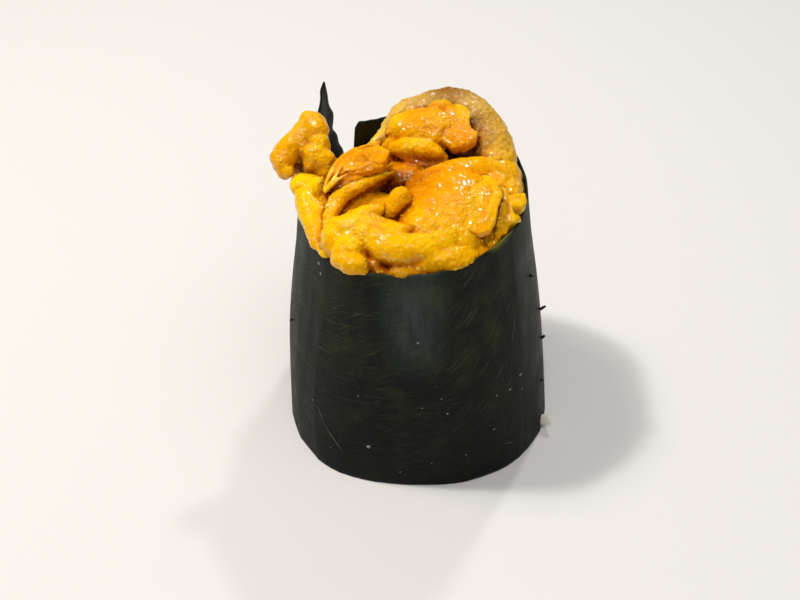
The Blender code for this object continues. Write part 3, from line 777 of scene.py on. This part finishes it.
# ------------------------------------------------------------------ the lobes on the left rim
# A short yellow lobe hangs on the rim, and behind it another rises, bends over and hangs outside.
LEFT_TAIL = ((-13.0, -7.0, 34.0), 3.0, 1.0)
left = lobe("left", [
    lump((-15.2, 1.4, 35.8), (2.7, 2.2, 1.8), (0, 12, 0)),
    lump((-14.2, 0.8, 35.7), (2.2, 2.4, 1.7), (0, 12, 0)),
    tongue([(-15.0, 0.4, 35.1, 2.0), (-14.6, -2.2, 34.7, 1.9), (-13.9, -4.8, 34.0, 1.7),
            (-12.9, -7.4, 33.3, 1.5), (-12.0, -9.8, 33.0, 1.3)]),
    lump((-13.6, -3.0, 34.8), (1.6, 2.4, 1.5)),
    lump((-12.4, -4.6, 34.2), (1.0, 2.4, 1.2)),
    lump((-12.7, -1.4, 34.9), (1.3, 2.4, 1.3)),
    lump((-13.4, -8.0, 33.6), (1.0, 1.2, 0.9)),
], LOBE_CLOSENESS, 3, [
    ("CLOUDS", 3.0, 0.7),
    ("CLOUDS", 1.2, 0.4, 0.3, [LEFT_TAIL]),
    ("VORONOI", 0.6, -0.10, 0.25, [LEFT_TAIL]),
], YELLOW, [
    ((-12.6, -7.6, 33.6), 3.0, ORANGE, 0.8),
    ((-12.3, -2.0, 35.4), (0.9, 3.0, 1.4), ORANGE, 0.9),
], inside=True)

arched = lobe("arched", [
    lump((-14.8, 8.2, 41.6), (2.0, 1.6, 1.7)),
    lump((-14.0, 7.2, 41.2), (1.6, 1.6, 1.9)),
    lump((-15.9, 7.6, 40.6), (1.7, 1.6, 1.8)),
    tongue([(-15.8, 7.2, 40.3, 1.8), (-17.6, 5.8, 39.2, 1.8), (-18.7, 4.4, 38.0, 1.7),
            (-18.4, 3.4, 37.0, 1.2)]),
    lump((-19.2, 4.2, 37.9), (1.1, 1.2, 1.2)),
    lump((-13.8, 5.8, 39.6), (1.7, 1.6, 1.9)),
    lump((-14.1, 4.6, 38.8), (1.9, 1.8, 1.9)),
    lump((-13.2, 4.2, 38.2), (1.8, 1.7, 1.9)),
    lump((-15.8, 5.8, 38.8), (1.3, 1.6, 2.0)),
    lump((-15.4, 6.0, 37.8), (1.8, 1.3, 2.0)),
    lump((-14.7, 4.0, 37.8), (1.3, 1.3, 1.8)),
    lump((-17.6, 4.7, 38.4), (1.0, 1.1, 1.4)),
    lump((-17.8, 2.9, 37.2), (0.9, 1.0, 0.9)),
    lump((-16.4, 4.9, 36.9), (1.4, 0.9, 1.6)),
    lump((-12.6, 4.0, 36.5), (2.3, 2.2, 2.2)),
], LOBE_CLOSENESS, 3, [
    ("CLOUDS", 2.4, 0.5),
    ("CLOUDS", 1.2, 0.2),
    ("VORONOI", 0.7, -0.08, 0.3, [((-13.8, 4.2, 38.6), 2.2, 1.5)]),
], GOLD, [
    ((-18.6, 4.8, 37.0), 2.5, ORANGE, 0.7),
    # Painted shade in the crease between the limb and the blob.
    ((-16.3, 4.6, 37.2), (0.7, 1.4, 1.7), shade(84, 54, 4), 1.0),
    ((-14.2, 5.0, 39.6), (1.6, 1.8, 1.6), shade(240, 186, 6), 0.8),
])

# ------------------------------------------------------------------ the lobes at the back
# A broad gold lobe lies over the back of the mouth, with a small tongue folded out of its front. Round it
# stands a coarse tan one, paler and drier, with speckled grains.
SMOOTH_SLOPE = ((-1.4, 3.8, 36.4), (4.0, 3.0, 2.0), 0.1)
back = lobe("back", [
    flap([(-4.9, 8.6, 40.0), (-3.4, 12.0, 41.2), (-1.2, 12.8, 41.8), (0.7, 13.4, 42.3), (2.2, 14.2, 42.7),
          (4.1, 13.9, 42.9), (5.0, 13.0, 42.9), (6.6, 13.0, 42.9), (8.2, 12.4, 42.8), (8.3, 11.2, 42.6),
          (7.2, 10.0, 42.3), (6.6, 8.8, 42.0), (6.9, 7.6, 41.6), (8.0, 6.6, 41.3), (7.7, 5.6, 41.0),
          (6.2, 4.8, 40.4), (4.2, 5.0, 40.2), (2.4, 6.6, 40.6), (-2.0, 7.2, 39.8)], 1.5, 0.8, 0.3),
    lump((1.4, 9.8, 39.8), (5.6, 3.8, 2.8)),
    lump((-1.8, 9.6, 39.8), (2.8, 2.6, 2.2)),
    lump((5.6, 7.0, 40.0), (2.3, 2.0, 1.6)),
    lump((3.0, 12.4, 41.6), (2.8, 1.6, 1.5)),
    lump((-1.6, 8.2, 37.4), (4.4, 2.4, 2.4)),
    # The tongue folded out of its front, and the thin edge under that.
    tongue([(-3.4, 6.3, 38.6, 1.0), (-1.4, 6.0, 39.0, 1.4), (0.6, 5.7, 39.0, 1.5), (2.2, 5.1, 38.6, 1.2),
            (3.3, 4.6, 38.2, 0.6)]),
    tongue([(-3.0, 5.4, 38.0, 0.25), (-0.6, 4.6, 37.8, 0.3), (1.6, 4.0, 37.5, 0.3), (3.0, 4.0, 37.7, 0.25)]),
    # The smooth slope that runs from under it down into the hollow.
    lump((-1.4, 4.8, 34.9), (4.6, 3.2, 2.6), (-14, 0, 0)),
], LOBE_CLOSENESS, 2, [
    ("CLOUDS", 3.0, 0.7),
    ("CLOUDS", 1.2, 0.3, 1.0, [SMOOTH_SLOPE]),
    ("VORONOI", 0.7, -0.06, 1.0, [SMOOTH_SLOPE]),
], GOLD, [
    ((0.0, 10.0, 42.0), (3.4, 3.4, 3.0), ORANGE, 0.9),
    ((6.0, 6.0, 40.6), (2.4, 2.4, 2.0), ORANGE, 1.0),
    ((0.0, 6.0, 40.0), (3.0, 1.4, 1.2), YELLOW, 0.8),
    ((6.8, 12.2, 43.2), (2.4, 1.8, 1.4), YELLOW, 0.8),
    ((-3.4, 9.6, 41.2), (2.0, 2.0, 1.6), YELLOW, 0.5),
    # The slope under the tongue is deeper orange, and painted shade darkens its foot where it runs into the
    # hollow.
    ((-1.4, 3.8, 36.4), (5.0, 3.0, 2.0), shade(226, 132, 2), 1.0),
    ((-2.6, 2.4, 35.8), (3.0, 1.4, 1.3), shade(130, 50, 2), 1.0),
])

tan_roe = roe_material("tan_roe", 0.4, (0.90, 0.70, 0.30), roughness=0.46)
tan = lobe("tan", [
    tongue([(-11.2, 3.8, 37.2, 0.5), (-9.2, 5.4, 37.6, 0.6), (-6.8, 7.2, 38.2, 0.7), (-4.8, 9.4, 38.8, 1.2),
            (-1.6, 12.4, 40.2, 2.2), (1.8, 13.4, 40.7, 2.6), (5.2, 13.6, 40.8, 2.8), (8.0, 11.2, 40.0, 2.9),
            (9.9, 8.0, 38.6, 2.8), (10.8, 5.4, 37.0, 2.6), (11.0, 3.2, 35.4, 2.2)]),
    lump((6.6, 10.6, 38.0), (3.6, 3.6, 2.6)),
    lump((2.0, 13.0, 38.4), (5.0, 2.6, 2.6)),
], LOBE_CLOSENESS, 4, [
    ("CLOUDS", 3.0, 0.7),
    ("CLOUDS", 1.2, 0.2),
    ("VORONOI", 0.6, -0.2),
], shade(214, 166, 70), [
    ((4.0, 14.2, 43.4), (4.0, 3.0, 1.8), shade(132, 84, 34), 0.9),
    # Painted shade where it meets the gold lobe.
    ((9.4, 6.6, 40.6), 1.8, shade(170, 118, 44), 0.8),
    ((-8.4, 6.2, 38.4), 4.5, shade(226, 178, 16), 1.0),
    ((11.8, 2.0, 37.4), (3.6, 5.0, 4.0), shade(236, 172, 8), 1.0),
    # Painted shade in the hole beside the gold lobe.
    ((7.8, 9.2, 40.8), 1.7, shade(96, 56, 18), 1.0),
], material=tan_roe)

# ------------------------------------------------------------------ the lobes at the right
# A flat coarse lobe lies down the right side of the front one, and thin ragged ones line the rim.
right = lobe("right", [
    flap([(6.6, -0.2, 38.3), (9.0, 0.4, 38.5), (10.4, -2.4, 39.1), (10.5, -4.8, 39.0), (10.0, -6.6, 38.4),
          (9.5, -8.6, 37.6), (8.8, -10.0, 37.0), (7.4, -10.6, 36.8), (5.8, -10.2, 37.1), (5.2, -7.0, 38.1),
          (5.8, -3.4, 38.8)], 0.9, 1.0, 0.3),
    lump((7.6, -4.4, 37.4), (1.6, 3.6, 1.5), (10, 0, 0)),
], 0.15, 1, [("CLOUDS", 2.4, 0.35), ("VORONOI", 0.55, -0.12)], GOLD, [])

rim = lobe("rim", [
    tongue([(11.0, 0.6, 35.8, 1.5), (11.2, -2.4, 35.6, 1.5), (10.6, -5.4, 34.8, 1.4),
            (9.2, -7.8, 34.2, 1.2)]),
    flap([(11.4, -2.8, 37.3), (12.4, -2.9, 37.6), (13.9, -2.2, 37.6), (13.9, -4.0, 37.1), (13.2, -5.0, 36.9),
          (12.1, -4.9, 36.9), (12.2, -6.0, 36.6), (13.1, -6.2, 36.4), (12.2, -7.2, 36.0), (11.4, -7.3, 35.8),
          (11.2, -8.3, 35.4), (9.8, -9.6, 34.8), (9.0, -9.2, 34.8), (10.2, -7.2, 35.6), (11.2, -5.0, 36.6)],
         1.0, 0.3, 0.2),
    tongue([(13.0, -1.8, 35.4, 1.1), (12.4, -3.8, 35.0, 1.3), (11.3, -6.0, 34.4, 1.2),
            (9.8, -8.2, 33.8, 1.1)]),
    tongue([(10.4, -0.6, 37.2, 0.6), (10.9, -3.0, 37.1, 0.75), (10.5, -5.6, 36.5, 0.7),
            (9.9, -7.6, 35.6, 0.5)]),
    lump((8.4, -9.8, 34.3), (1.6, 1.0, 0.9)),
], LOBE_CLOSENESS, 2, [("CLOUDS", 1.6, 0.6), ("VORONOI", 0.5, -0.10)], OLIVE, [
    ((13.0, -4.4, 37.4), (1.4, 3.0, 1.0), GOLD, 0.9),
    ((8.4, -9.8, 35.2), 1.4, GOLD, 0.9),
], inside=True)

# ------------------------------------------------------------------ painted shade in the folds
# The roe's colour is painted with shade where the skin is closed in: from gold on the open tops, through
# orange, to red-brown in the deepest folds. Creases are painted darker as shade, and swells a little lighter
# as painted light.
FOLD_REACH, SKIN_CLEARANCE = 7.0, 0.15  # rays look this far, from just off the skin
RAY_COUNT, SAMPLE_EVERY, BLENDED_SAMPLES = 16, 5, 5
OPEN_LEVEL, SHUT_SPAN = 0.05, 0.58  # how shut in the tops are, and how much more the deepest folds are
THIN_LOBE_SHARE = 0.60  # thin lobes let light through, so their folds get less painted shade
FOLD_DARKENS, DEEP_FOLD_DARKENS = np.array([0.25, 0.57, 0.57]), np.array([0.45, 0.33, 0.35])
CREASES = ((0.15, 10, 0.12), (0.85, 60, 0.5))  # each has its share, its rounds of easing and its depth
# Painted shade in creases and painted light on swells.
CREASE_DARKENS, SWELL_BRIGHTENS = np.array([0.30, 0.75, 0.75]), np.array([0.02, 0.10, 0.10])
LOBES = (front, curl, knob, ribbed, left, arched, back, tan, right, rim)
random.seed(5)


def spread_directions(count):
    """Directions over the upper half of a ball, closest together about straight up."""
    made = []
    for step in range(count):
        height = math.sqrt(1.0 - (step + 0.5) / count)
        flat, turn = math.sqrt(1.0 - height**2), step * math.pi * (3.0 - math.sqrt(5.0))
        made.append(Vector((flat * math.cos(turn), flat * math.sin(turn), height)))
    return made


def closed_in(place, normal, surfaces, directions):
    """0 in the open, and 1 where every way out soon meets roe or nori."""
    aim = normal.to_track_quat("Z", "Y") @ Quaternion((0.0, 0.0, 1.0), random.uniform(0.0, math.tau))
    start = place + normal * SKIN_CLEARANCE * MM
    shut = 0.0
    for direction in directions:
        distance = surfaces.ray_cast(start, aim @ direction, FOLD_REACH * MM)[3]
        if distance is not None:
            shut += 1.0 - distance / (FOLD_REACH * MM)
    return shut / len(directions)


bpy.ops.object.select_all(action="DESELECT")
for piece in (nori, *LOBES):
    piece.select_set(True)
bpy.context.view_layer.objects.active = nori
bpy.ops.object.duplicate()
bpy.ops.object.join()
everything = bpy.context.object
surfaces = bvhtree.BVHTree.FromObject(everything, bpy.context.evaluated_depsgraph_get())
bpy.data.objects.remove(everything)
directions = spread_directions(RAY_COUNT)


def grooved(piece, rounds, depth):
    """Above 0 where the skin dips in a crease, below 0 where it stands out, from -1 to 1."""
    places = places_of(piece)
    edges = np.empty(len(piece.data.edges) * 2, dtype=int)
    piece.data.edges.foreach_get("vertices", edges)
    one, other = np.hstack([edges[::2], edges[1::2]]), np.hstack([edges[1::2], edges[::2]])
    links = np.bincount(one, minlength=len(places))[:, None]
    eased = places.copy()
    for _ in range(rounds):
        total = [np.bincount(one, eased[other, axis], len(places)) for axis in range(3)]
        eased = np.stack(total, axis=1) / links
    normals = np.empty(len(places) * 3)
    piece.data.vertices.foreach_get("normal", normals)
    return np.clip(((eased - places) * normals.reshape(-1, 3)).sum(axis=1) / depth, -1.0, 1.0)


for piece in LOBES:
    sample = list(piece.data.vertices)[::SAMPLE_EVERY]
    near = kdtree.KDTree(len(sample))
    shut = []
    for index, vertex in enumerate(sample):
        near.insert(vertex.co, index)
        shut.append(closed_in(vertex.co, vertex.normal, surfaces, directions))
    near.balance()
    depth = np.array([
        np.mean([shut[index] for _, index, _ in near.find_n(vertex.co, BLENDED_SAMPLES)])
        for vertex in piece.data.vertices])
    depth = np.clip((depth - OPEN_LEVEL) / SHUT_SPAN, 0.0, 1.0)[:, None]
    if piece in (curl, arched):
        depth *= THIN_LOBE_SHARE
    layer = piece.data.attributes["paint_colour_and_shade"]
    colours = np.empty(len(depth) * 4)
    layer.data.foreach_get("color", colours)
    colours = colours.reshape(-1, 4)
    # Painted shade, deeper the more the skin is closed in.
    colours[:, :3] *= 1.0 - depth * FOLD_DARKENS - depth**2 * DEEP_FOLD_DARKENS
    # Painted shade in the creases and painted light on the swells.
    crease = sum(share * grooved(piece, rounds, dip) for share, rounds, dip in CREASES)[:, None]
    colours[:, :3] *= 1.0 - crease.clip(0.0) * CREASE_DARKENS + (-crease).clip(0.0) * SWELL_BRIGHTENS
    layer.data.foreach_set("color", colours.ravel())

# ------------------------------------------------------------------ starch specks on the wrap
# Specks of rice starch left by wet fingers: thin, flat, milky patches dried on to the outer face of the wrap.
# Each is given by its turn round the wrap in degrees, its height, its width and its own height.
SPECK_HALF_THICKNESS = 0.07
random.seed(23)


def on_wrap(turn_deg, height, outset):
    """A place on the outer face of the wrap, and the way that face looks there."""
    angle = math.radians(turn_deg)
    share = (height - foot_height(angle)) / (wall_point(angle, 1.0).z - foot_height(angle))
    place = wall_point(angle, share, NORI_THICKNESS / 2 + outset)
    beside = wall_point(angle + 0.02, share, NORI_THICKNESS / 2 + outset)
    above = wall_point(angle, share + 0.02, NORI_THICKNESS / 2 + outset)
    return place, (beside - place).cross(above - place).normalized()


def lay_speck(turn_deg, height, wide, tall):
    """A flattened ball with a ragged outline, lying on the wrap."""
    place, outward = on_wrap(turn_deg, height, 0.0)
    bpy.ops.mesh.primitive_ico_sphere_add(subdivisions=2, radius=1.0)
    speck = bpy.context.object
    seed = random.uniform(0.0, 50.0)
    for vertex in speck.data.vertices:
        x, y, z = vertex.co
        uneven = 0.5 + 0.3 * noise.noise(Vector((x * 1.6, y * 1.6, seed)))
        vertex.co = Vector((x * uneven * wide, y * uneven * tall, z * SPECK_HALF_THICKNESS)) * MM
    speck.location = place * MM
    speck.rotation_euler = outward.to_track_quat("Z", "Y").to_euler()
    return speck


specks = [
    lay_speck(-108, 6.3, 0.6, 0.5), lay_speck(-141, 31.0, 0.6, 0.5), lay_speck(-139, 29.8, 0.4, 0.5),
    lay_speck(-89, 24.0, 0.3, 0.3), lay_speck(-40, 14.0, 0.6, 0.4), lay_speck(-48, 13.0, 0.4, 0.3),
]
for _ in range(12):
    turn, height = random.uniform(-150, -30), random.uniform(2, 18)
    specks.append(lay_speck(turn, height, random.uniform(0.15, 0.35), random.uniform(0.1, 0.3)))
dried_starch = new_material("dried_starch", 0.55, Base_Color=(0.22, 0.23, 0.20, 1.0))[0]
finish(join_pieces("starch_specks", specks), dried_starch)

# ------------------------------------------------------------------ pale threads in the wrap
# Long threads of paler laver pressed into the sheet, which stand a hair proud of its face near the foot.
threads = []
for first, last, low, high in (
        (-131, -122, 7.0, 5.0), (-128, -120, 6.2, 4.2), (-54, -48, 4.6, 3.6), (-136, -131, 9.6, 7.4),
        (-44, -40, 20.0, 24.0)):
    knots = []
    for step in range(5):
        along = step / 4
        turn = first + (last - first) * along
        place = on_wrap(turn, low + (high - low) * along + 0.1 * math.sin(4 * along + low), 0.0)[0]
        knots.append((*place, 0.02 + 0.05 * math.sin(math.pi * along)))
    threads.append(tongue(knots))
pale_laver = new_material("pale_laver", 0.5, Base_Color=(0.060, 0.062, 0.042, 1.0))[0]
finish(join_pieces("pale_threads", threads), pale_laver)

# ------------------------------------------------------------------ torn flecks of the wrap
# Brittle flakes that have lifted from the sheet, at the right and the left. Each has its turn round the wrap
# in degrees, its height, its width, its own height and how far it leans out in degrees.
FLECK_THICKNESS = 0.12
flecks = []
for turn, height, wide, tall, lean in (
        (-12, 18.2, 1.1, 0.5, 50), (-14, 13.8, 0.8, 0.5, 35), (-166, 17.0, 0.5, 0.4, 40),
        (-22, 26.0, 0.4, 0.5, 40), (-20, 8.0, 0.4, 0.3, 45)):
    place, outward = on_wrap(turn, height, 0.05)
    bpy.ops.mesh.primitive_grid_add(x_subdivisions=8, y_subdivisions=6, size=2.0)
    fleck = bpy.context.object
    for vertex in fleck.data.vertices:
        x, y = vertex.co.x, vertex.co.y
        taper = 1.0 - 0.5 * (x + 1.0) / 2.0
        wave = 0.12 * noise.noise(Vector((x * 1.8, y * 1.8, turn)))
        vertex.co = Vector(((x + 1.0) * wide / 2, y * taper * tall / 2 + wave, wave)) * MM
    around = Vector((0.0, 0.0, 1.0)).cross(outward).normalized()
    ahead = (outward * math.sin(math.radians(lean)) + around * math.cos(math.radians(lean))).normalized()
    fleck.rotation_euler = ahead.to_track_quat("X", "Z").to_euler()
    fleck.location = place * MM
    flecks.append(fleck)
flecks = join_pieces("nori_flecks", flecks)
thicken(flecks, FLECK_THICKNESS)
finish(flecks, pressed_laver)

# ------------------------------------------------------------------ loose eggs and beads of juice
# Single eggs rubbed off the lobes, and beads of their juice, caught along the rim and at the low ends of the
# lobes at the left and right. Each is dropped from above on to whatever lies under it.
DROP_HEIGHT, LOWEST_BEAD, RIM_MARGIN = 60.0, 33.0, 0.7
random.seed(31)
beads = []
for x, y, spread, count in (
        (-12.6, -8.6, 1.0, 10), (-11.0, -2.4, 1.2, 7), (-14.6, -7.6, 0.8, 6), (-7.0, -14.2, 1.0, 6),
        (0.0, -14.6, 3.0, 8), (7.4, -11.6, 1.6, 10), (11.8, -7.0, 1.4, 10), (-3.0, -5.6, 1.0, 6),
        (8.2, -5.6, 1.4, 10), (-11.8, 2.2, 0.8, 5), (-9.4, 5.6, 1.8, 7), (-18.0, 3.6, 0.8, 3)):
    for _ in range(count):
        spot = Vector((x + random.gauss(0.0, spread), y + random.gauss(0.0, spread), DROP_HEIGHT)) * MM
        landed = surfaces.ray_cast(spot, Vector((0.0, 0.0, -1.0)))[0]
        if landed is None or landed.z < LOWEST_BEAD * MM:
            continue
        edge_here = wall_point(math.atan2(landed.y, landed.x), 1.0) * MM
        if landed.z < edge_here.z and landed.xy.length > edge_here.xy.length - RIM_MARGIN * MM:
            continue
        size = random.uniform(0.08, 0.22)
        bpy.ops.mesh.primitive_ico_sphere_add(subdivisions=2, radius=size * MM, location=landed)
        bead = bpy.context.object
        bead.scale = (1.0, 1.0, random.uniform(0.6, 0.9))
        beads.append(bead)
egg_skin = new_material(
    "egg_skin", 0.22, Base_Color=(*shade(252, 184, 20), 1.0), Subsurface_Weight=0.3,
    Subsurface_Scale=0.001, Coat_Weight=0.6, Coat_Roughness=0.08)[0]
finish(join_pieces("loose_eggs", beads), egg_skin)

# ------------------------------------------------------------------ floor, lights and camera
# A plain pale floor, a soft key light from the upper left, a wide overhead light and a weak front fill. The
# wet roe doesn't mirror those. Three small lights leave the bright points on it instead.
bpy.ops.mesh.primitive_plane_add(size=6.0)
floor = bpy.context.object
floor.name = "floor"
floor.data.materials.append(new_material("pale_paper", 0.7, Base_Color=(0.72, 0.70, 0.67, 1.0))[0])

TOP_OF_WRAP = Vector((0.0, 0.0, 0.035))
WHITE, WARM = (1.0, 1.0, 1.0), (1.0, 0.97, 0.92)
for name, place, size, power, colour, mirrored in (
        ("key", (-0.22, 0.08, 0.45), 0.09, 0.80, WARM, False),
        ("overhead", (0.12, -0.10, 0.60), 0.50, 0.8, WHITE, False),
        ("front_fill", (0.05, -0.60, 0.35), 0.50, 0.4, WHITE, False),
        ("sparkle_back", (0.10, 0.30, 0.40), 0.03, 0.50, WHITE, True),
        ("sparkle_front", (-0.05, -0.20, 0.50), 0.03, 0.50, WHITE, True),
        ("sparkle_left", (-0.22, 0.06, 0.45), 0.03, 0.85, WARM, True)):
    bpy.ops.object.light_add(type="AREA", location=place)
    light = bpy.context.object
    light.name = name
    light.data.size = size
    light.data.energy = power
    light.data.color = colour
    light.rotation_euler = (TOP_OF_WRAP - Vector(place)).to_track_quat("-Z", "Y").to_euler()
    light.visible_glossy = mirrored

world = bpy.data.worlds.new("studio")
world.use_nodes = True
sky = world.node_tree.nodes["Background"]
sky.inputs["Color"].default_value = (1.0, 1.0, 1.0, 1.0)
sky.inputs["Strength"].default_value = 0.22
bpy.context.scene.world = world
world.cycles_visibility.glossy = False
bpy.context.scene.view_settings.view_transform = "Standard"

# The camera looks down at the middle of the wrap.
CAMERA_TARGET, CAMERA_DISTANCE, CAMERA_RISE_DEG = Vector((-2.7, 0.7, 16.35)), 169.5, 40.0
CAMERA_LENS = 52.3
rise = math.radians(CAMERA_RISE_DEG)
back_off = Vector((0.0, -math.cos(rise), math.sin(rise))) * CAMERA_DISTANCE
bpy.ops.object.camera_add(
    location=(CAMERA_TARGET + back_off) * MM, rotation=(math.radians(90.0 - CAMERA_RISE_DEG), 0.0, 0.0))
camera = bpy.context.object
camera.name = "camera"
camera.data.lens_unit = "MILLIMETERS"
camera.data.lens = CAMERA_LENS
camera.data.clip_start = 0.01
bpy.context.scene.camera = camera
